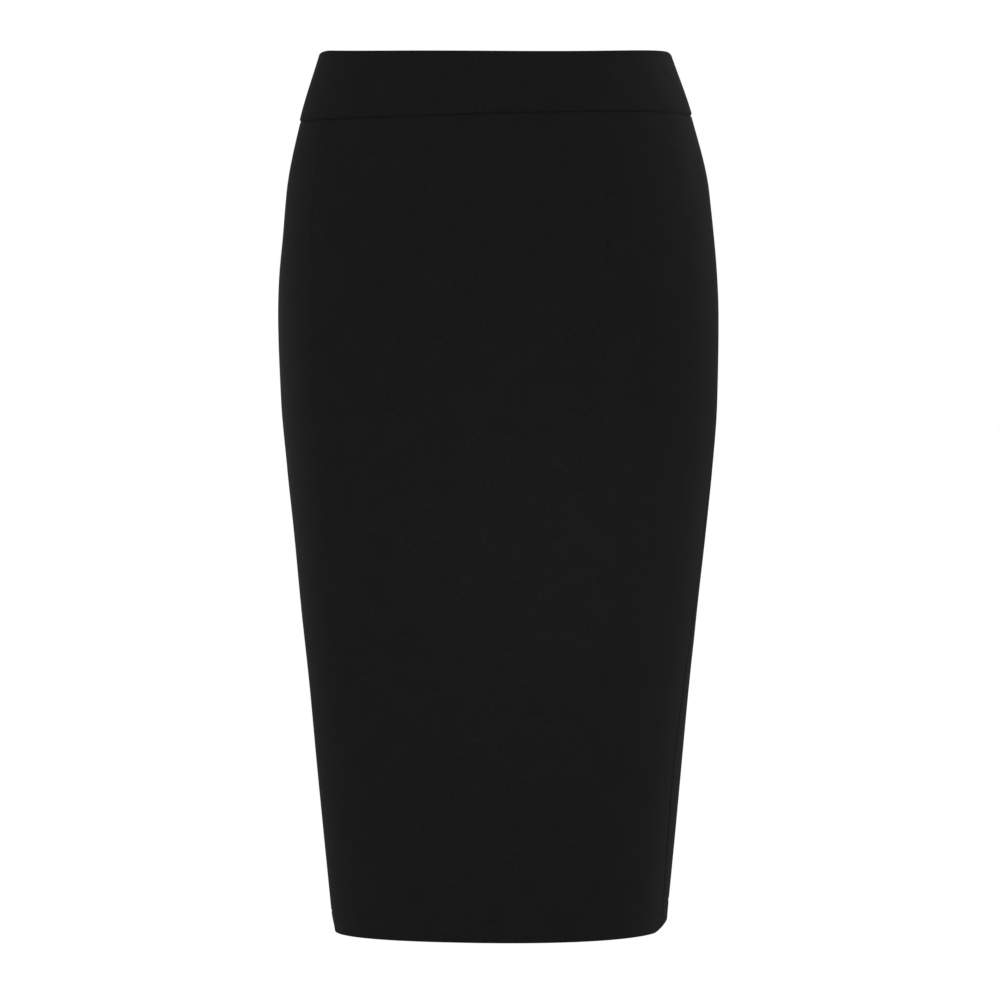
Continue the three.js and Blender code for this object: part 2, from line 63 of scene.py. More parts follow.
# The cut. The half gap between two pieces is just below zero, so no light shows through a seam.
LENGTH_MM = 650.7
BAND_DEPTH_MM = 46.4
CLOTH_MM = 1.1
DOUBLED_MM = 2.3
HEM_DEPTH_MM = 15.8
HALF_GAP_MM = -0.02
TOP_SLANT_MM = 1.5
TOP_SIDE_RISE_MM = 3
TOP_RISE_RIGHT_END = 59
TOP_RISE_LEFT_END = 92.5
TOP_RISE_END_SPAN = 15
BAND_SLANT_MM = 2.6
BAND_SIDE_FALL_MM = 1.3
BAND_FALL_START = 72
BAND_FALL_SPAN = 25
HEM_SLANT_MM = 0.8
HEM_BACK_RISE_MM = 6.5
HEM_RISE_START = 88
HEM_RISE_SPAN = 19
BAND_PROUD_MM = 0.8
BAND_ROLL_MM = 1.15
BAND_SEAM_SINK_MM = 1.0
HEM_ROLL_MM = 1.1
HEM_DRAWN_IN_MM = 1.2
SEAM_SINK_MM = 0.6
SEAM_WIDTH_MM = 1.3
HEM_LINE_SINK_MM = 0.4
HEM_LINE_WIDTH_MM = 1.6
FRONT_DART = {"top": 53, "point": 50, "length": 115}
BACK_DART = {"top": 145, "point": 147, "length": 135}
DART_WIDTH_MM = 1.1
DART_SINK_MM = 0.5
DART_TOP_SHARE = 0.2
DART_POINT_SHARE = 0.06

# The walking vent: the left back laps over an underlap that is cut in one with the right back
VENT_TOP_MM = 485
VENT_LEAD_MM = 15
VENT_LIFT_MM = 1.5
VENT_SINK_MM = 1.45
FACING_WIDTH_MM = 38
FACING_STEP_MM = 7
FACING_END_MM = FACING_WIDTH_MM + FACING_STEP_MM
LIFT_FADE_MM = 45
SINK_START_MM = 2
SINK_FADE_MM = 18
UNDERLAP_WIDTH_MM = 42
UNDERLAP_SHORT_MM = 2
UNDERLAP_SHORT_ANGLE = 4

# The concealed zip
ZIP_TOP_MM = 3
ZIP_END_MM = 205
ZIP_INSET_MM = 2.15
TAPE_HALF_WIDTH_MM = 13
TAPE_MM = 0.7
SLOT_END_MM = 13
NOTCH_HALF_WIDTH_MM = 1.1
NOTCH_TOP_MM = 3.5
NOTCH_END_MM = 13.5
NOTCH_EASE_MM = 2

# The size of the cloth's cells, and lengths of cloth that they fill between the finer stretches
CELL_MM = 3.6
BAND_CELL_SHARE = 0.7
FRONT_SIDE_MM = 125
FRONT_MIDDLE_MM = 236
BACK_SIDE_MM = 130
LEFT_DART_TO_FACING_MM = 32
RIGHT_SINK_TO_DART_MM = 57
VENT_TO_HEM_LINE_MM = 147
BAND_FRONT_MM = 430
BAND_BACK_MM = 190

# Soft creases of worn cloth, each a trough (negative) or ridge (positive) along a straight run on
# the flat cloth: where it starts and ends as an angle and a drop, its half width and its height
CREASE_COLUMNS = ("from_angle", "from_drop", "to_angle", "to_drop", "width", "height")
CREASE_RADIUS_MM = 150
CREASE_END_FADE = 0.12
PANEL_CREASES = [
    (27, 415, 24, 520, 12, -0.9),
    (14, 560, 9, 640, 14, -0.5),
    (-37, 120, -29, 300, 24, 0.8),
    (-12, 290, -7, 470, 28, 0.7),
    (-48, 400, -41, 610, 26, 0.8),
    (45, 120, 53, 290, 20, 0.7),
    (63, 330, 55, 560, 24, 0.8),
    (-88, 78, -71, 150, 11, -0.7),
    (-97, 230, -84, 330, 20, -0.6),
    (88, 74, 70, 158, 12, -0.7),
    (92, 300, 101, 420, 22, -0.7),
    (-104, 410, -112, 560, 22, 0.7),
    (112, 470, 106, 610, 20, 0.7),
    (132, 120, 158, 170, 12, -0.6),
    (124, 240, 150, 290, 22, -0.8),
    (160, 300, 153, 440, 26, 0.8),
    (-126, 110, -152, 176, 13, -0.6),
    (-122, 262, -154, 300, 24, -0.8),
    (-163, 330, -150, 460, 26, 0.8),
    (-140, 500, -134, 610, 22, -0.6),
    (140, 520, 133, 620, 20, -0.6),
]
BAND_CREASES = [
    (79, 6, 86, 27, 4.5, -0.6),
    (72, 20, 78, 36, 7, 0.3),
    (-64, 12, -55, 33, 8, -0.35),
    (24, 15, 35, 34, 12, -0.25),
    (146, 12, 153, 34, 7, -0.4),
    (-138, 10, -146, 33, 8, -0.4),
    (-112, 16, -104, 32, 6, -0.3),
]

# Steps on the form over which its normals are worked out
NORMAL_STEP_ANGLE = 0.2
NORMAL_STEP_MM = 0.5


def form_column(name):
    index = FORM_COLUMNS.index(name)
    return np.array([row[index] for row in FORM_ROWS], float)


def form_curve(name):
    """A smooth curve through one column of the form, which never overshoots its rows."""
    drops = form_column("drop")
    values = form_column(name)
    steps = np.diff(drops)
    slopes = np.diff(values) / steps
    tangents = np.zeros(len(values))
    tangents[0] = slopes[0]
    tangents[-1] = slopes[-1]
    for k in range(1, len(slopes)):
        before = slopes[k - 1]
        after = slopes[k]
        if before * after > 0:
            tangents[k] = 2 * before * after / (before + after)

    def curve(drop):
        drop = np.asarray(drop, float)
        k = np.clip(np.searchsorted(drops, drop) - 1, 0, len(steps) - 1)
        t = (drop - drops[k]) / steps[k]
        rise = values[k + 1] - values[k]
        start = steps[k] * tangents[k]
        end = steps[k] * tangents[k + 1]
        return values[k] + t * (start + t * (3 * rise - 2 * start - end + t * (start + end - 2 * rise)))

    return curve


half_at = form_curve("half")
lean_at = form_curve("lean")
front_at = form_curve("front")
back_at = form_curve("back")
square_front_at = form_curve("square_front")
square_back_at = form_curve("square_back")
seam_at = form_curve("seam")


def ease(share):
    s = np.clip(share, 0, 1)
    return s * s * (3 - 2 * s)


def nearness(distance, width):
    """1 on a line, falling smoothly to 0 at the given distance from it."""
    return 1 - ease(np.abs(distance) / width)


def roll_at(distance, radius):
    """How far a rounded edge has turned in, at a distance from that edge."""
    rest = np.clip(radius - distance, 0, radius)
    return radius - np.sqrt(radius * radius - rest * rest)


def form_point(angle, drop):
    """Points of the form in millimetres, on a squared ellipse at their level."""
    angle, drop = np.broadcast_arrays(np.asarray(angle, float), np.asarray(drop, float))
    across = np.sin(np.radians(angle))
    ahead = np.cos(np.radians(angle))
    in_front = ahead >= 0
    depth = np.where(in_front, front_at(drop), back_at(drop))
    square = np.where(in_front, square_front_at(drop), square_back_at(drop))
    total = np.abs(across / half_at(drop)) ** square + np.abs(ahead / depth) ** square
    radius = total ** (-1 / square)
    return np.stack([radius * across, lean_at(drop) - radius * ahead, -drop], axis=-1)


def form_normal(angle, drop):
    """Normals of the form, one unit long and pointing out of it."""
    along = form_point(angle + NORMAL_STEP_ANGLE, drop) - form_point(angle - NORMAL_STEP_ANGLE, drop)
    down = form_point(angle, drop + NORMAL_STEP_MM) - form_point(angle, drop - NORMAL_STEP_MM)
    normal = np.cross(down, along)
    return normal / np.linalg.norm(normal, axis=-1, keepdims=True)


def cloth_point(angle, drop, inset):
    """Points that lie in from the form by an inset, along its normals."""
    inset = np.asarray(inset, float)
    return form_point(angle, drop) - form_normal(angle, drop) * inset[..., None]


# Edges of the pieces, as drops at an angle


def top_drop(angle):
    """The top edge rises towards the sides, up to an angle beyond which it eases back to level."""
    across = np.sin(np.radians(angle))
    end = np.where(np.asarray(angle) < 0, TOP_RISE_RIGHT_END, TOP_RISE_LEFT_END)
    held = 1 - ease((np.abs(angle) - end) / TOP_RISE_END_SPAN)
    return TOP_SLANT_MM * across - TOP_SIDE_RISE_MM * across**6 * held


def band_seam_drop(angle):
    fall = BAND_SIDE_FALL_MM * ease((np.abs(angle) - BAND_FALL_START) / BAND_FALL_SPAN)
    return BAND_DEPTH_MM - BAND_SLANT_MM * np.sin(np.radians(angle)) + fall


def back_share(angle):
    """From 0 on the front to 1 on the back, over a stretch on both sides of the side seam."""
    return ease((np.abs(angle) - HEM_RISE_START) / HEM_RISE_SPAN)


def hem_drop(angle):
    rise = HEM_BACK_RISE_MM * back_share(angle)
    short = UNDERLAP_SHORT_MM * ease((-180 - angle) / UNDERLAP_SHORT_ANGLE)
    return LENGTH_MM - HEM_SLANT_MM * np.sin(np.radians(angle)) - rise - short


# The angle that a distance along the cloth spans, near the side seam or near the centre back


def side_angle(distance, drop):
    return np.degrees(distance / half_at(drop))


def back_angle(distance, drop):
    return np.degrees(np.arctan(distance / back_at(drop)))


def dart_angle(dart, drop):
    share = np.clip((drop - BAND_DEPTH_MM) / dart["length"], 0, 1)
    return dart["top"] + (dart["point"] - dart["top"]) * share


# Columns: each is a function that gives an angle at a drop


def left_seam(distance):
    return lambda drop: seam_at(drop) + side_angle(distance, drop)


def right_seam(distance):
    return lambda drop: -seam_at(drop) - side_angle(distance, drop)


def dart_line(dart, side, distance):
    return lambda drop: side * (dart_angle(dart, drop) + side_angle(distance, drop))


def left_back_line(distance):
    return lambda drop: 180 - back_angle(distance, drop)


def right_back_line(distance):
    return lambda drop: -180 + back_angle(distance, drop)


def centre_gap(drop):
    """The half gap at the centre back, opened round the slider's neck."""
    opened = np.minimum((drop - NOTCH_TOP_MM) / NOTCH_EASE_MM, (NOTCH_END_MM - drop) / NOTCH_EASE_MM)
    return HALF_GAP_MM + (NOTCH_HALF_WIDTH_MM - HALF_GAP_MM) * np.clip(opened, 0, 1)


def between(start, end, share):
    """The line that lies at a share of the way from one line to another."""
    return lambda value: start(value) + (end(value) - start(value)) * share


def stretch(start, end, cells):
    """The lines of one stretch, from its first line up to, and without, its last."""
    return [between(start, end, k / cells) for k in range(cells)]


def level(drop):
    return lambda angle: drop + 0 * np.asarray(angle, float)


# Distances from a seam's or a line's middle at which the fine rows and columns stand
SEAM_STEPS_MM = (0, 0.15, 0.35, 0.7, 1.3)
LINE_STEPS_MM = (-1.6, -1.0, -0.6, -0.3, 0, 0.3, 0.6, 1.0, 1.6)
ROLL_STEPS_MM = (1.1, 0.8, 0.5, 0.28, 0.12, 0.03, 0)


def cells_over(length, cell=CELL_MM):
    return max(1, round(length / cell))


def seam_lines(line, inward):
    """Fine lines from a seam's edge to the flat cloth beside it; inward is 1 or -1."""
    return [line(inward * (HALF_GAP_MM + step)) for step in SEAM_STEPS_MM]


def dart_lines(dart, side):
    return [dart_line(dart, side, side * step) for step in LINE_STEPS_MM]


def front_columns():
    right_edge = seam_lines(right_seam, -1)
    left_edge = seam_lines(left_seam, -1)[::-1]
    right_dart = dart_lines(FRONT_DART, -1)
    left_dart = dart_lines(FRONT_DART, 1)
    return [
        *right_edge[:-1],
        *stretch(right_edge[-1], right_dart[0], cells_over(FRONT_SIDE_MM)),
        *right_dart[:-1],
        *stretch(right_dart[-1], left_dart[0], cells_over(FRONT_MIDDLE_MM)),
        *left_dart[:-1],
        *stretch(left_dart[-1], left_edge[0], cells_over(FRONT_SIDE_MM)),
        *left_edge,
    ]


def left_back_columns():
    edge = seam_lines(left_seam, 1)
    dart = dart_lines(BACK_DART, 1)
    facing_end = left_back_line(FACING_END_MM)
    centre = seam_lines(left_back_line, 1)[::-1]
    return [
        *edge[:-1],
        *stretch(edge[-1], dart[0], cells_over(BACK_SIDE_MM)),
        *dart[:-1],
        *stretch(dart[-1], facing_end, cells_over(LEFT_DART_TO_FACING_MM)),
        *stretch(facing_end, centre[0], cells_over(FACING_END_MM - SEAM_WIDTH_MM)),
        *centre,
    ]


def underlap_columns():
    edge = right_back_line(-UNDERLAP_WIDTH_MM)
    return stretch(edge, right_back_line(-SINK_START_MM), cells_over(UNDERLAP_WIDTH_MM - SINK_START_MM))


def right_back_columns():
    edge = seam_lines(right_seam, 1)[::-1]
    dart = dart_lines(BACK_DART, -1)
    centre = seam_lines(right_back_line, 1)
    sink_end = right_back_line(SINK_START_MM + SINK_FADE_MM)
    return [
        *underlap_columns(),
        right_back_line(-SINK_START_MM),
        *centre[:-1],
        *stretch(centre[-1], sink_end, cells_over(SINK_FADE_MM)),
        *stretch(sink_end, dart[0], cells_over(RIGHT_SINK_TO_DART_MM)),
        *dart[:-1],
        *stretch(dart[-1], edge[0], cells_over(BACK_SIDE_MM)),
        *edge,
    ]


# Rows: each is a function that gives a drop at an angle


def band_seam_line(distance):
    return lambda angle: band_seam_drop(angle) + distance


def hem_line(distance):
    return lambda angle: hem_drop(angle) - distance


DART_END_MM = BAND_DEPTH_MM + FRONT_DART["length"]
DART_ROW = level(DART_END_MM)
LEAD_ROW = level(VENT_TOP_MM - VENT_LEAD_MM)
VENT_ROW = level(VENT_TOP_MM)
TOP_ROWS = seam_lines(band_seam_line, 1)
HEM_LINE_ROWS = [hem_line(HEM_DEPTH_MM - step) for step in LINE_STEPS_MM]
EDGE_ROWS = [hem_line(step) for step in ROLL_STEPS_MM]
HEM_LINE_TO_ROLL_MM = HEM_DEPTH_MM - LINE_STEPS_MM[-1] - ROLL_STEPS_MM[0]
ROWS_ABOVE_VENT = [
    *TOP_ROWS[:-1],
    *stretch(TOP_ROWS[-1], DART_ROW, cells_over(FRONT_DART["length"])),
    *stretch(DART_ROW, LEAD_ROW, cells_over(VENT_TOP_MM - VENT_LEAD_MM - DART_END_MM)),
    *stretch(LEAD_ROW, VENT_ROW, cells_over(VENT_LEAD_MM)),
]
PANEL_ROWS = [
    *ROWS_ABOVE_VENT,
    *stretch(VENT_ROW, HEM_LINE_ROWS[0], cells_over(VENT_TO_HEM_LINE_MM)),
    *HEM_LINE_ROWS[:-1],
    *stretch(HEM_LINE_ROWS[-1], EDGE_ROWS[0], cells_over(HEM_LINE_TO_ROLL_MM)),
    *EDGE_ROWS,
]


def top_line(distance):
    return lambda angle: top_drop(angle) + distance


def band_rows(middle_levels):
    top = [top_line(step) for step in ROLL_STEPS_MM][::-1]
    bottom = seam_lines(band_seam_line, -1)[::-1]
    stops = [top[-1], *middle_levels, bottom[0]]
    middle = []
    for start, end in zip(stops[:-1], stops[1:]):
        length = float(end(0.0) - start(0.0))
        middle.extend(stretch(start, end, cells_over(length, BAND_CELL_SHARE * CELL_MM)))
    return [*top[:-1], *middle, *bottom]


NOTCH_LEVELS = [
    level(NOTCH_TOP_MM),
    level(NOTCH_TOP_MM + NOTCH_EASE_MM),
    level(NOTCH_END_MM - NOTCH_EASE_MM),
    level(NOTCH_END_MM),
]


# How far each skin lies in from the form


def crease_height(creases, angle, drop):
    """The sum of the soft creases at points of the cloth, in millimetres out of the form."""
    total = np.zeros(np.broadcast(angle, drop).shape)
    per_degree = math.radians(1) * CREASE_RADIUS_MM
    for row in creases:
        crease = dict(zip(CREASE_COLUMNS, row))
        start = np.array([crease["from_angle"] * per_degree, crease["from_drop"]])
        run = np.array([crease["to_angle"] * per_degree, crease["to_drop"]]) - start
        across = angle * per_degree - start[0]
        down = drop - start[1]
        share = (across * run[0] + down * run[1]) / (run @ run)
        held = np.clip(share, 0, 1)
        away = np.hypot(across - held * run[0], down - held * run[1])
        fade = np.sin(np.pi * np.clip(CREASE_END_FADE + (1 - 2 * CREASE_END_FADE) * share, 0, 1))
        total = total + crease["height"] * np.exp(-(away / crease["width"]) ** 2) * fade
    return total


def crease_at(distance):
    """How far a seam's edge has sunk, from 1 at the edge to 0 where the cloth lies flat."""
    return nearness(np.maximum(0, np.abs(distance) - HALF_GAP_MM), SEAM_WIDTH_MM)


def from_side_seam(angle, drop):
    return np.radians(np.abs(angle) - seam_at(drop)) * half_at(drop)


def from_centre_left(angle, drop):
    return back_at(drop) * np.tan(np.radians(180 - angle))


def from_centre_right(angle, drop):
    return back_at(drop) * np.tan(np.radians(180 + angle))


def dart_depth(dart, angle, drop):
    """How deep a dart's line is: faint at the waistband, deepest just above the dart's point."""
    distance = np.radians(np.abs(angle) - dart_angle(dart, drop)) * half_at(drop)
    share = np.clip(1 - (drop - BAND_DEPTH_MM) / dart["length"], 0, 1)
    pressed = DART_TOP_SHARE + (1 - DART_TOP_SHARE) * ease(1 - share)
    return ease(share / DART_POINT_SHARE) * pressed * nearness(distance, DART_WIDTH_MM)


def panel_skins(dart, angle, drop, from_centre, faced):
    """Insets of a panel's outer and inner skin. faced is 1 where a facing doubles the cloth."""
    from_hem = hem_drop(angle) - drop
    roll = roll_at(from_hem, HEM_ROLL_MM)
    drawn = HEM_DRAWN_IN_MM * ease(1 - from_hem / HEM_DEPTH_MM) * (1 - back_share(angle))
    turned = np.clip((HEM_DEPTH_MM + HEM_LINE_WIDTH_MM - from_hem) / HEM_LINE_WIDTH_MM, 0, 1)
    depth = dart_depth(dart, angle, drop)
    seams = np.maximum(crease_at(drop - band_seam_drop(angle)), crease_at(from_side_seam(angle, drop)))
    seams = np.maximum(seams, crease_at(from_centre))
    sunk = SEAM_SINK_MM * seams
    sunk = np.maximum(sunk, HEM_LINE_SINK_MM * nearness(from_hem - HEM_DEPTH_MM, HEM_LINE_WIDTH_MM))
    sunk = np.maximum(sunk, DART_SINK_MM * depth)
    thick = CLOTH_MM + (DOUBLED_MM - CLOTH_MM) * np.maximum(np.maximum(turned, depth), faced)
    folds = crease_height(PANEL_CREASES, angle, drop)
    return sunk + roll + drawn - folds, thick - roll + drawn - folds


def lap_at(drop):
    """From 0 above the vent to 1 where its two layers lie on each other."""
    return ease((drop - VENT_TOP_MM + VENT_LEAD_MM) / VENT_LEAD_MM)


# The distance to the centre back of a piece that doesn't reach it
FAR = 1e6


def front_skins(angle, drop):
    return panel_skins(FRONT_DART, angle, drop, FAR, 0)


def left_back_skins(angle, drop):
    away = from_centre_left(angle, drop)
    faced = lap_at(drop) * np.clip((FACING_END_MM - away) / FACING_STEP_MM, 0, 1)
    lift = VENT_LIFT_MM * lap_at(drop) * (1 - ease((away - FACING_END_MM) / LIFT_FADE_MM))
    outer, inner = panel_skins(BACK_DART, angle, drop, away, faced)
    return outer - lift, inner - lift


def right_back_skins(angle, drop):
    away = from_centre_right(angle, drop)
    sink = VENT_SINK_MM * lap_at(drop) * (1 - ease((away - SINK_START_MM) / SINK_FADE_MM))
    outer, inner = panel_skins(BACK_DART, angle, drop, away, 0)
    return outer + sink, inner + sink


def band_skins(angle, drop, from_centre=FAR):
    """Insets of the waistband's outer and inner skin."""
    roll = roll_at(drop - top_drop(angle), BAND_ROLL_MM)
    sides = np.maximum(crease_at(from_side_seam(angle, drop)), crease_at(from_centre))
    bottom = BAND_SEAM_SINK_MM * crease_at(band_seam_drop(angle) - drop)
    folds = crease_height(BAND_CREASES, angle, drop)
    outer = roll + np.maximum(SEAM_SINK_MM * sides, bottom) - BAND_PROUD_MM - folds
    inner = DOUBLED_MM - roll - BAND_PROUD_MM - folds
    return outer, inner


def left_band_skins(angle, drop):
    return band_skins(angle, drop, from_centre_left(angle, drop))


def right_band_skins(angle, drop):
    return band_skins(angle, drop, from_centre_right(angle, drop))


def front_band_columns():
    right_edge = seam_lines(right_seam, -1)
    left_edge = seam_lines(left_seam, -1)[::-1]
    return [
        *right_edge[:-1],
        *stretch(right_edge[-1], left_edge[0], cells_over(BAND_FRONT_MM)),
        *left_edge,
    ]


def beside_notch(line, steps):
    """Fine columns from the slider's notch to the flat cloth beside it."""
    return [lambda drop, step=step: line(centre_gap(drop) + step)(drop) for step in steps]


def left_band_columns():
    edge = seam_lines(left_seam, 1)
    centre = beside_notch(left_back_line, SEAM_STEPS_MM)[::-1]
    return [*edge[:-1], *stretch(edge[-1], centre[0], cells_over(BAND_BACK_MM)), *centre]


def right_band_columns():
    edge = seam_lines(right_seam, 1)[::-1]
    centre = beside_notch(right_back_line, SEAM_STEPS_MM)
    return [*centre[:-1], *stretch(centre[-1], edge[0], cells_over(BAND_BACK_MM)), *edge]


# Meshes. Rows and columns bend with each other, so their crossings settle in a few rounds.
SETTLING_ROUNDS = 2
WEAVE_DROP_MM = 194.0
TUBE_END_SHARE = 0.45


def new_object(name, points_mm, faces, smooth=True, uvs=None):
    """A mesh object from points in millimetres and faces of point numbers."""
    mesh = bpy.data.meshes.new(name)
    mesh.from_pydata((np.asarray(points_mm) / 1000).tolist(), [], faces)
    if smooth:
        mesh.polygons.foreach_set("use_smooth", [True] * len(mesh.polygons))
    if uvs is not None:
        layer = mesh.uv_layers.new(name="cloth")
        corners = np.zeros(len(mesh.loops), int)
        mesh.loops.foreach_get("vertex_index", corners)
        layer.data.foreach_set("uv", np.asarray(uvs)[corners].ravel().tolist())
    mesh.update()
    obj = bpy.data.objects.new(name, mesh)
    bpy.context.scene.collection.objects.link(obj)
    return obj


def grid_angles_drops(columns, rows):
    """The angle and the drop of every corner, where each column crosses each row."""
    angles = np.zeros((len(rows), len(columns)))
    start = np.array([float(row(0.0)) for row in rows])
    for c, column in enumerate(columns):
        angles[:, c] = column(start)
    drops = np.zeros_like(angles)
    for settling in range(SETTLING_ROUNDS):
        for r, row in enumerate(rows):
            drops[r] = row(angles[r])
        for c, column in enumerate(columns):
            angles[:, c] = column(drops[:, c])
    return angles, drops


def cloth_wall(name, columns, rows, skins, underlap_cells=0, first_underlap_row=0):
    """A closed wall of cloth: an outer and an inner skin, and a rim wherever a cell has no neighbour."""
    angles, drops = grid_angles_drops(columns, rows)
    outer, inner = skins(angles, drops)
    outside = cloth_point(angles, drops, outer)
    inside = cloth_point(angles, drops, inner)
    row_count, column_count = angles.shape
    total = row_count * column_count
    number = np.arange(total).reshape(row_count, column_count)
    cells = np.ones((row_count - 1, column_count - 1), bool)
    cells[:first_underlap_row, :underlap_cells] = False

    a = number[:-1, :-1]
    b = number[1:, :-1]
    c = number[1:, 1:]
    d = number[:-1, 1:]
    outer_faces = np.stack([a, b, c, d], axis=-1)[cells]
    faces = [outer_faces, outer_faces[:, ::-1] + total]
    padded = np.pad(cells, 1)
    beside = [
        (padded[1:-1, :-2], a, b),
        (padded[2:, 1:-1], b, c),
        (padded[1:-1, 2:], c, d),
        (padded[:-2, 1:-1], d, a),
    ]
    for neighbour, start, end in beside:
        bare = cells & ~neighbour
        rim = np.stack([end[bare], start[bare], start[bare] + total, end[bare] + total], axis=-1)
        faces.append(rim)
    faces = np.concatenate(faces)

    points = np.concatenate([outside.reshape(-1, 3), inside.reshape(-1, 3)])
    steps = np.linalg.norm(np.diff(form_point(angles, WEAVE_DROP_MM), axis=1), axis=-1)
    along = np.concatenate([np.zeros((row_count, 1)), np.cumsum(steps, axis=1)], axis=1)
    uv = np.stack([along, -drops], axis=-1).reshape(-1, 2) / 1000
    uvs = np.concatenate([uv, uv])
    used = np.unique(faces)
    renumber = np.full(len(points), -1)
    renumber[used] = np.arange(len(used))
    return new_object(name, points[used], renumber[faces].tolist(), uvs=uvs[used])


def tube(centres, radius, sides, flat=1.0, out=None):
    """Points and faces of a closed tube along centres, with its ends drawn in. out is its flat side."""
    centres = np.asarray(centres, float)
    run = np.gradient(centres, axis=0)
    run /= np.linalg.norm(run, axis=1, keepdims=True)
    out = np.broadcast_to(out, centres.shape)
    side = np.cross(run, out)
    side /= np.linalg.norm(side, axis=1, keepdims=True)
    up = np.cross(side, run)
    turn = (np.arange(sides) * 2 * math.pi / sides)[None, :, None]
    ring = radius * (np.cos(turn) * side[:, None] + flat * np.sin(turn) * up[:, None])
    widths = np.ones(len(centres))
    widths[0] = TUBE_END_SHARE
    widths[-1] = TUBE_END_SHARE
    points = centres[:, None] + ring * widths[:, None, None]
    faces = []
    for k in range(len(centres) - 1):
        for s in range(sides):
            after = (s + 1) % sides
            faces.append([k * sides + s, k * sides + after, (k + 1) * sides + after, (k + 1) * sides + s])
    last = (len(centres) - 1) * sides
    faces.append(list(range(sides))[::-1])
    faces.append([last + s for s in range(sides)])
    return points.reshape(-1, 3), faces


def joined(parts):
    """One list of points and one of faces from several."""
    points = []
    faces = []
    count = 0
    for part_points, part_faces in parts:
        points.append(part_points)
        faces.extend([[index + count for index in face] for face in part_faces])
        count += len(part_points)
    return np.concatenate(points), faces


# Stitches: each dips into the cloth at both ends
STITCH_PITCH_MM = 2.9
STITCH_LENGTH_MM = 2.3
THREAD_RADIUS_MM = 0.19
THREAD_FLATNESS = 0.8
THREAD_SIDES = 6
STITCH_SINK_MM = 0.12
STITCH_SHARES = np.array([0, 0.15, 0.5, 0.85, 1])
STITCH_DIPS_MM = np.array([0.3, 0.04, 0, 0.04, 0.3])
STITCH_POINTS_PER_DEGREE = 3


def stitches(angles, drops, insets):
    """A row of sunk thread stitches along a line on the cloth, given by points 1 mm or less apart."""
    line = cloth_point(angles, drops, insets)
    normals = form_normal(angles, drops)
    steps = np.linalg.norm(np.diff(line, axis=0), axis=1)
    place = np.concatenate([[0], np.cumsum(steps)])
    count = int(place[-1] // STITCH_PITCH_MM)
    parts = []
    for k in range(count):
        start = (k + 0.5) * place[-1] / count - STITCH_LENGTH_MM / 2
        stops = start + STITCH_LENGTH_MM * STITCH_SHARES
        depths = STITCH_DIPS_MM + STITCH_SINK_MM
        points = np.stack([np.interp(stops, place, line[:, i]) for i in range(3)], axis=-1)
        out = np.array([np.interp(stops[2], place, normals[:, i]) for i in range(3)])
        out /= np.linalg.norm(out)
        sunk = points - out * depths[:, None]
        parts.append(tube(sunk, THREAD_RADIUS_MM, THREAD_SIDES, THREAD_FLATNESS, out))
    return joined(parts)


def hem_stitches(first, last, skins):
    angles = np.linspace(first, last, round(abs(last - first) * STITCH_POINTS_PER_DEGREE))
    drops = hem_drop(angles) - HEM_DEPTH_MM
    outer, inner = skins(angles, drops)
    return stitches(angles, drops, outer)


# Materials. A wave texture has this many bands to the metre at a scale of 1.
BANDS_PER_SCALE = 3.183


def node_material(name):
    """A new material, its nodes and links, and its shader."""
    material = bpy.data.materials.new(name)
    material.use_nodes = True
    nodes = material.node_tree.nodes
    return material, nodes, material.node_tree.links, nodes["Principled BSDF"]


def noise_node(nodes, links, vector, scale, detail, roughness):
    node = nodes.new("ShaderNodeTexNoise")
    node.inputs["Scale"].default_value = scale
    node.inputs["Detail"].default_value = detail
    node.inputs["Roughness"].default_value = roughness
    links.new(vector, node.inputs["Vector"])
    return node.outputs["Fac"]


def wave_node(nodes, links, vector, direction, per_metre, distortion):
    node = nodes.new("ShaderNodeTexWave")
    node.wave_type = "BANDS"
    node.bands_direction = direction
    node.inputs["Scale"].default_value = per_metre / BANDS_PER_SCALE
    node.inputs["Distortion"].default_value = distortion
    node.inputs["Detail"].default_value = 1.0
    node.inputs["Detail Scale"].default_value = 2.0
    links.new(vector, node.inputs["Vector"])
    return node.outputs["Fac"]


def math_node(nodes, links, operation, first, second):
    node = nodes.new("ShaderNodeMath")
    node.operation = operation
    for socket, value in zip(node.inputs, (first, second)):
        if isinstance(value, (int, float)):
            socket.default_value = value
        else:
            links.new(value, socket)
    return node.outputs[0]


def range_node(nodes, links, value, low, high, from_low=0, from_high=1):
    node = nodes.new("ShaderNodeMapRange")
    node.inputs["From Min"].default_value = from_low
    node.inputs["From Max"].default_value = from_high
    node.inputs["To Min"].default_value = low
    node.inputs["To Max"].default_value = high
    links.new(value, node.inputs["Value"])
    return node.outputs["Result"]


def colour_node(nodes, links, value, dark, light):
    node = nodes.new("ShaderNodeMix")
    node.data_type = "RGBA"
    node.inputs[6].default_value = (*dark, 1)
    node.inputs[7].default_value = (*light, 1)
    links.new(value, node.inputs[0])
    return node.outputs[2]


def bump_node(nodes, links, height, distance, strength, normal=None):
    node = nodes.new("ShaderNodeBump")
    node.inputs["Distance"].default_value = distance
    node.inputs["Strength"].default_value = strength
    links.new(height, node.inputs["Height"])
    if normal is not None:
        links.new(normal, node.inputs["Normal"])
    return node.outputs["Normal"]


# The suiting: yarns and twill lines to the metre, the twill's slant, and a grain of fine and wide
# mottles between two near blacks
YARNS_PER_METRE = 1900
TWILL_LINES_PER_METRE = 1330
TWILL_SLANT = 0.6
CLOTH_DARK = (0.0067, 0.0067, 0.0067)
CLOTH_LIGHT = (0.0094, 0.0094, 0.0094)
GRAIN_SHARE = 0.7
MOTTLE_SHARE = 0.3
GRAIN_LOW = 0.33
GRAIN_HIGH = 0.67


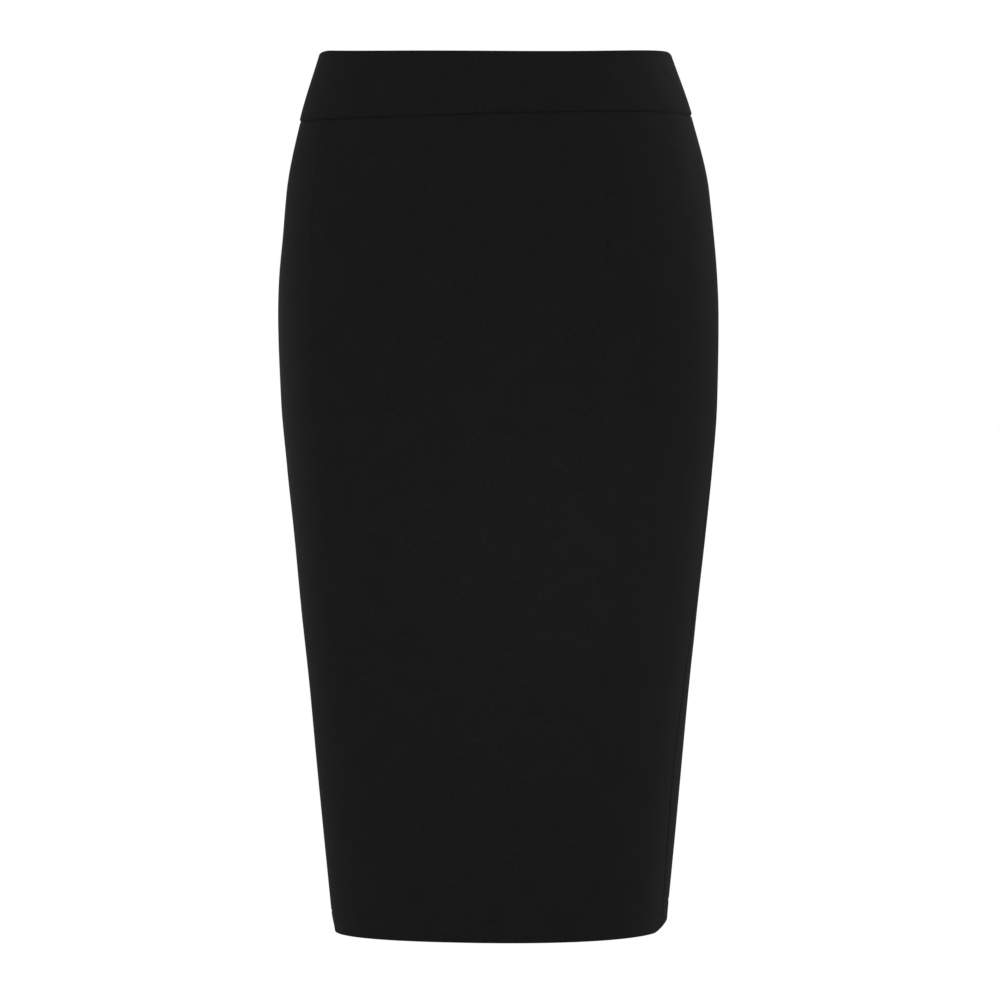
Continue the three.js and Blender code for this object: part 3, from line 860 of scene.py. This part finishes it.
def cloth_material():
    """Closely woven, matt, near-black stretch suiting with a fine uneven grain."""
    material, nodes, links, shader = node_material("suiting")
    place = nodes.new("ShaderNodeUVMap")
    place.uv_map = "cloth"
    uv = place.outputs["UV"]
    turned = nodes.new("ShaderNodeMapping")
    turned.inputs["Rotation"].default_value = (0, 0, TWILL_SLANT)
    links.new(uv, turned.inputs["Vector"])
    slanted = turned.outputs["Vector"]
    twill = wave_node(nodes, links, slanted, "X", per_metre=TWILL_LINES_PER_METRE, distortion=0.4)
    yarns = wave_node(nodes, links, uv, "Y", per_metre=YARNS_PER_METRE, distortion=0.6)
    weave = math_node(nodes, links, "MULTIPLY", twill, yarns)
    slubs = noise_node(nodes, links, uv, scale=700, detail=3, roughness=0.6)
    grain = noise_node(nodes, links, uv, scale=300, detail=3, roughness=0.75)
    mottle = noise_node(nodes, links, uv, scale=45, detail=3, roughness=0.6)
    grain_part = math_node(nodes, links, "MULTIPLY", grain, GRAIN_SHARE)
    mottle_part = math_node(nodes, links, "MULTIPLY", mottle, MOTTLE_SHARE)
    mixed = math_node(nodes, links, "ADD", grain_part, mottle_part)
    tone = range_node(nodes, links, mixed, low=0, high=1, from_low=GRAIN_LOW, from_high=GRAIN_HIGH)
    colour = colour_node(nodes, links, tone, CLOTH_DARK, CLOTH_LIGHT)
    links.new(colour, shader.inputs["Base Color"])
    links.new(range_node(nodes, links, slubs, low=0.86, high=0.96), shader.inputs["Roughness"])
    fine = bump_node(nodes, links, weave, distance=0.00009, strength=0.5)
    soft = bump_node(nodes, links, slubs, distance=0.00016, strength=0.5, normal=fine)
    links.new(soft, shader.inputs["Normal"])
    shader.inputs["Specular IOR Level"].default_value = 0.035
    return material


def thread_material():
    """Twisted black sewing thread."""
    material, nodes, links, shader = node_material("thread")
    place = nodes.new("ShaderNodeTexCoord").outputs["Object"]
    twist = noise_node(nodes, links, place, scale=2200, detail=2, roughness=0.5)
    colour = colour_node(nodes, links, twist, dark=(0.005, 0.005, 0.0052), light=(0.009, 0.009, 0.0093))
    links.new(colour, shader.inputs["Base Color"])
    links.new(range_node(nodes, links, twist, low=0.55, high=0.75), shader.inputs["Roughness"])
    links.new(bump_node(nodes, links, twist, distance=0.00005, strength=0.5), shader.inputs["Normal"])
    shader.inputs["Specular IOR Level"].default_value = 0.15
    return material


def tape_material():
    """A zip's woven tape, with ribs along it."""
    material, nodes, links, shader = node_material("zip_tape_weave")
    place = nodes.new("ShaderNodeTexCoord").outputs["Object"]
    ribs = wave_node(nodes, links, place, "X", per_metre=1300, distortion=0.3)
    picks = wave_node(nodes, links, place, "Z", per_metre=1600, distortion=0.3)
    weave = math_node(nodes, links, "MULTIPLY", ribs, picks)
    colour = colour_node(nodes, links, weave, dark=(0.0055, 0.0055, 0.006), light=(0.012, 0.012, 0.0125))
    links.new(colour, shader.inputs["Base Color"])
    links.new(range_node(nodes, links, weave, low=0.7, high=0.85), shader.inputs["Roughness"])
    links.new(bump_node(nodes, links, weave, distance=0.0002, strength=0.7), shader.inputs["Normal"])
    shader.inputs["Specular IOR Level"].default_value = 0.2
    return material


def coil_material():
    """Black nylon, half gloss."""
    material, nodes, links, shader = node_material("zip_coil_nylon")
    place = nodes.new("ShaderNodeTexCoord").outputs["Object"]
    wear = noise_node(nodes, links, place, scale=300, detail=2, roughness=0.5)
    colour = colour_node(nodes, links, wear, dark=(0.008, 0.008, 0.0085), light=(0.014, 0.014, 0.0145))
    links.new(colour, shader.inputs["Base Color"])
    links.new(range_node(nodes, links, wear, low=0.35, high=0.5), shader.inputs["Roughness"])
    return material


def metal_material():
    """Black lacquer on metal, a little uneven."""
    material, nodes, links, shader = node_material("black_lacquer")
    place = nodes.new("ShaderNodeTexCoord").outputs["Object"]
    wear = noise_node(nodes, links, place, scale=420, detail=4, roughness=0.6)
    colour = colour_node(nodes, links, wear, dark=(0.010, 0.010, 0.0105), light=(0.022, 0.022, 0.0225))
    links.new(colour, shader.inputs["Base Color"])
    links.new(range_node(nodes, links, wear, low=0.28, high=0.5), shader.inputs["Roughness"])
    links.new(bump_node(nodes, links, wear, distance=0.00003, strength=0.4), shader.inputs["Normal"])
    shader.inputs["Metallic"].default_value = 0.2
    return material


suiting = cloth_material()
thread = thread_material()
tape_weave = tape_material()
coil_nylon = coil_material()
lacquer = metal_material()


def finish_piece(obj, material, body="skirt"):
    """Give a piece its material and slot, and let it move with a body."""
    obj.data.materials.append(material)
    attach(obj, body)


# The cloth: each piece's columns, rows and skins
front = cloth_wall("front_panel_cloth", front_columns(), PANEL_ROWS, front_skins)
back_left = cloth_wall("back_left_cloth", left_back_columns(), PANEL_ROWS, left_back_skins)
back_right = cloth_wall(
    "back_right_cloth",
    right_back_columns(),
    PANEL_ROWS,
    right_back_skins,
    underlap_cells=len(underlap_columns()) + 1,
    first_underlap_row=len(ROWS_ABOVE_VENT),
)
band_front = cloth_wall("waistband_front_cloth", front_band_columns(), band_rows([]), band_skins)
band_left = cloth_wall(
    "waistband_left_cloth", left_band_columns(), band_rows(NOTCH_LEVELS), left_band_skins
)
band_right = cloth_wall(
    "waistband_right_cloth", right_band_columns(), band_rows(NOTCH_LEVELS), right_band_skins
)

for piece, node in [
    (front, "front_panel"),
    (back_left, "back_panel_left"),
    (back_right, "back_panel_right"),
    (band_front, "waistband_front"),
    (band_left, "waistband_back_left"),
    (band_right, "waistband_back_right"),
]:
    finish_piece(piece, suiting)
    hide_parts(node)

# The hem's stitches, which stop short of the side seams and the vent's edges
SEAM_STOP_ANGLE = 1.2
CENTRE_STOP_ANGLE = 179
hem_seam = float(seam_at(LENGTH_MM - HEM_DEPTH_MM))
front_stitches = new_object(
    "hem_stitches_front",
    *hem_stitches(-hem_seam + SEAM_STOP_ANGLE, hem_seam - SEAM_STOP_ANGLE, front_skins),
)
left_stitches = new_object(
    "hem_stitches_back_left",
    *hem_stitches(hem_seam + SEAM_STOP_ANGLE, CENTRE_STOP_ANGLE, left_back_skins),
)
right_stitches = new_object(
    "hem_stitches_back_right",
    *hem_stitches(-CENTRE_STOP_ANGLE, -hem_seam - SEAM_STOP_ANGLE, right_back_skins),
)
for piece in (front_stitches, left_stitches, right_stitches):
    finish_piece(piece, thread)

# The vent's top is held by a slanting row of stitches
VENT_STITCH_START_MM = 1.5
VENT_STITCH_FALL_MM = 17
VENT_STITCH_POINTS = 60


def vent_stitches():
    share = np.linspace(0, 1, VENT_STITCH_POINTS)
    away = VENT_STITCH_START_MM + share * (FACING_WIDTH_MM - VENT_STITCH_START_MM)
    drops = VENT_TOP_MM + share * VENT_STITCH_FALL_MM
    angles = 180 - back_angle(away, drops)
    outer, inner = left_back_skins(angles, drops)
    return stitches(angles, drops, outer)


finish_piece(new_object("vent_stitches", *vent_stitches()), thread)

# The zip: a woven tape in two halves, and a closed coil of nylon loops behind it
TAPE_EDGE_MM = 0.9
TAPE_COLUMNS = 9
COIL_START_MM = SLOT_END_MM + 1
COIL_END_MM = ZIP_END_MM - 5
LOOP_PITCH_MM = 1.35
LOOP_HALF_WIDTH_MM = 1.45
LOOP_OVERLAP_MM = 0.4
LOOP_RADIUS_MM = 0.3
LOOP_SIDES = 6
LOOP_BEND_POINTS = 5
LOOP_NEAR_MM = 3.2
LOOP_FAR_MM = 4.2


def tape_half(side):
    """One flat tape; side is 1 on the wearer's left of the centre back and -1 on the right."""
    steps = np.linspace(TAPE_EDGE_MM, TAPE_HALF_WIDTH_MM, TAPE_COLUMNS) * side
    if side > 0:
        steps = steps[::-1]
    columns = [lambda drop, step=step: 180 - back_angle(step, drop) for step in steps]
    end = level(ZIP_END_MM)
    rows = [*stretch(level(ZIP_TOP_MM), end, cells_over(ZIP_END_MM - ZIP_TOP_MM)), end]

    def skins(angle, drop):
        return ZIP_INSET_MM + 0 * drop, ZIP_INSET_MM + TAPE_MM + 0 * drop

    return cloth_wall("zip_tape_" + ("left" if side > 0 else "right"), columns, rows, skins)


def coil():
    """Nylon loops that reach across the centre in turn from either side."""
    parts = []
    middle = (LOOP_NEAR_MM + LOOP_FAR_MM) / 2
    reach = (LOOP_FAR_MM - LOOP_NEAR_MM) / 2
    turn = np.linspace(-0.5 * math.pi, 0.5 * math.pi, LOOP_BEND_POINTS)
    bend_inset = middle + reach * np.sin(turn)
    for k in range(2 * int((COIL_END_MM - COIL_START_MM) / LOOP_PITCH_MM)):
        side = 1 if k % 2 else -1
        drop = COIL_START_MM + k * LOOP_PITCH_MM / 2
        bend_away = -side * (LOOP_OVERLAP_MM + reach * np.cos(turn))
        away = np.concatenate([[side * LOOP_HALF_WIDTH_MM], bend_away, [side * LOOP_HALF_WIDTH_MM]])
        inset = np.concatenate([[LOOP_NEAR_MM], bend_inset, [LOOP_FAR_MM]])
        centres = cloth_point(180 - back_angle(away, drop), drop + 0 * away, inset)
        parts.append(tube(centres, LOOP_RADIUS_MM, LOOP_SIDES, out=(0.0, 0.0, 1.0)))
    return joined(parts)


tape_left = tape_half(1)
tape_right = tape_half(-1)
for piece in (tape_left, tape_right):
    finish_piece(piece, tape_weave)
    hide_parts("zip_tape")
finish_piece(new_object("zip_coil", *coil()), coil_nylon)

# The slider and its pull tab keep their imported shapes, with rounded edges and a lacquer
EDGE_ROUND = 0.00022
EDGE_SEGMENTS = 2
for name in ("zip_slider", "zip_pull"):
    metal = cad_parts[name]
    bevel = metal.modifiers.new("rounded_edges", "BEVEL")
    bevel.width = EDGE_ROUND
    bevel.segments = EDGE_SEGMENTS
    bevel.limit_method = "ANGLE"
    metal.data.materials.clear()
    metal.data.materials.append(lacquer)

# The stage: a pale floor, which reaches far past the view
FLOOR_DROP_MM = 1050
FLOOR_HALF_MM = 40000


def floor():
    corners = [(-1, -1), (1, -1), (1, 1), (-1, 1)]
    points = [(x * FLOOR_HALF_MM, y * FLOOR_HALF_MM, -FLOOR_DROP_MM) for x, y in corners]
    obj = new_object("floor", points, [[0, 1, 2, 3]], smooth=False)
    material, _, _, shader = node_material("pale_floor")
    shader.inputs["Base Color"].default_value = (0.9, 0.9, 0.9, 1)
    shader.inputs["Roughness"].default_value = 0.9
    shader.inputs["Specular IOR Level"].default_value = 0.1
    obj.data.materials.append(material)
    return obj


floor()

world = bpy.data.worlds.new("studio")
world.use_nodes = True
world.node_tree.nodes["Background"].inputs["Color"].default_value = (1, 1, 1, 1)
world.node_tree.nodes["Background"].inputs["Strength"].default_value = 1.0
bpy.context.scene.world = world
bpy.context.scene.view_settings.view_transform = "Standard"


def aim(obj, target):
    obj.rotation_euler = (Vector(target) - obj.location).to_track_quat("-Z", "Y").to_euler()


def area_light(name, x, y, z, target_z, width, height, spread, power):
    """A soft panel of light at a place, aimed at a height on the skirt's middle."""
    light = bpy.data.lights.new(name, "AREA")
    light.shape = "RECTANGLE"
    light.size = width
    light.size_y = height
    light.energy = power
    light.spread = math.radians(spread)
    obj = bpy.data.objects.new(name, light)
    obj.location = (x, y, z)
    bpy.context.scene.collection.objects.link(obj)
    aim(obj, (0, 0, target_z))
    obj.visible_camera = False


# A soft panel in front, to the wearer's left, and two behind that catch the cloth as it turns away.
# The spread is in degrees and the power in watts.
LIGHT_COLUMNS = ("name", "x", "y", "z", "target_z", "width", "height", "spread", "power")
LIGHTS = [
    ("key", 1.15, -1.6, -0.3, -0.375, 0.2, 0.2, 12, 0.036),
    ("right_rim", 2.03, 1.08, 0.1, -0.05, 0.15, 0.15, 9, 0.085),
    ("left_rim", -2.1, 1.1, -0.25, -0.25, 0.15, 0.15, 12, 0.085),
]
for row in LIGHTS:
    area_light(**dict(zip(LIGHT_COLUMNS, row)))

# A wide sun from straight above whitens the floor out to the horizon
SUN_POWER = 0.4
SUN_WIDTH = math.radians(40)
sun = bpy.data.lights.new("floor_sun", "SUN")
sun.energy = SUN_POWER
sun.angle = SUN_WIDTH
sun_object = bpy.data.objects.new("floor_sun", sun)
bpy.context.scene.collection.objects.link(sun_object)

# The camera: level with the skirt's hips, a little to the wearer's left, with a long lens
CAMERA_TURN = math.radians(18.5)
CAMERA_DISTANCE = 5.095
CAMERA_HEIGHT = -0.1844
CAMERA_TARGET = (-0.0003, 0, -0.3302)
LENS_MM = 246.6
SENSOR_MM = 36
SIGHT = 200
camera_data = bpy.data.cameras.new("camera")
camera_data.lens = LENS_MM
camera_data.sensor_width = SENSOR_MM
camera_data.clip_end = SIGHT
camera = bpy.data.objects.new("camera", camera_data)
camera.location = (
    CAMERA_DISTANCE * math.sin(CAMERA_TURN),
    -CAMERA_DISTANCE * math.cos(CAMERA_TURN),
    CAMERA_HEIGHT,
)
bpy.context.scene.collection.objects.link(camera)
aim(camera, CAMERA_TARGET)
bpy.context.scene.camera = camera

bpy.context.view_layer.update()
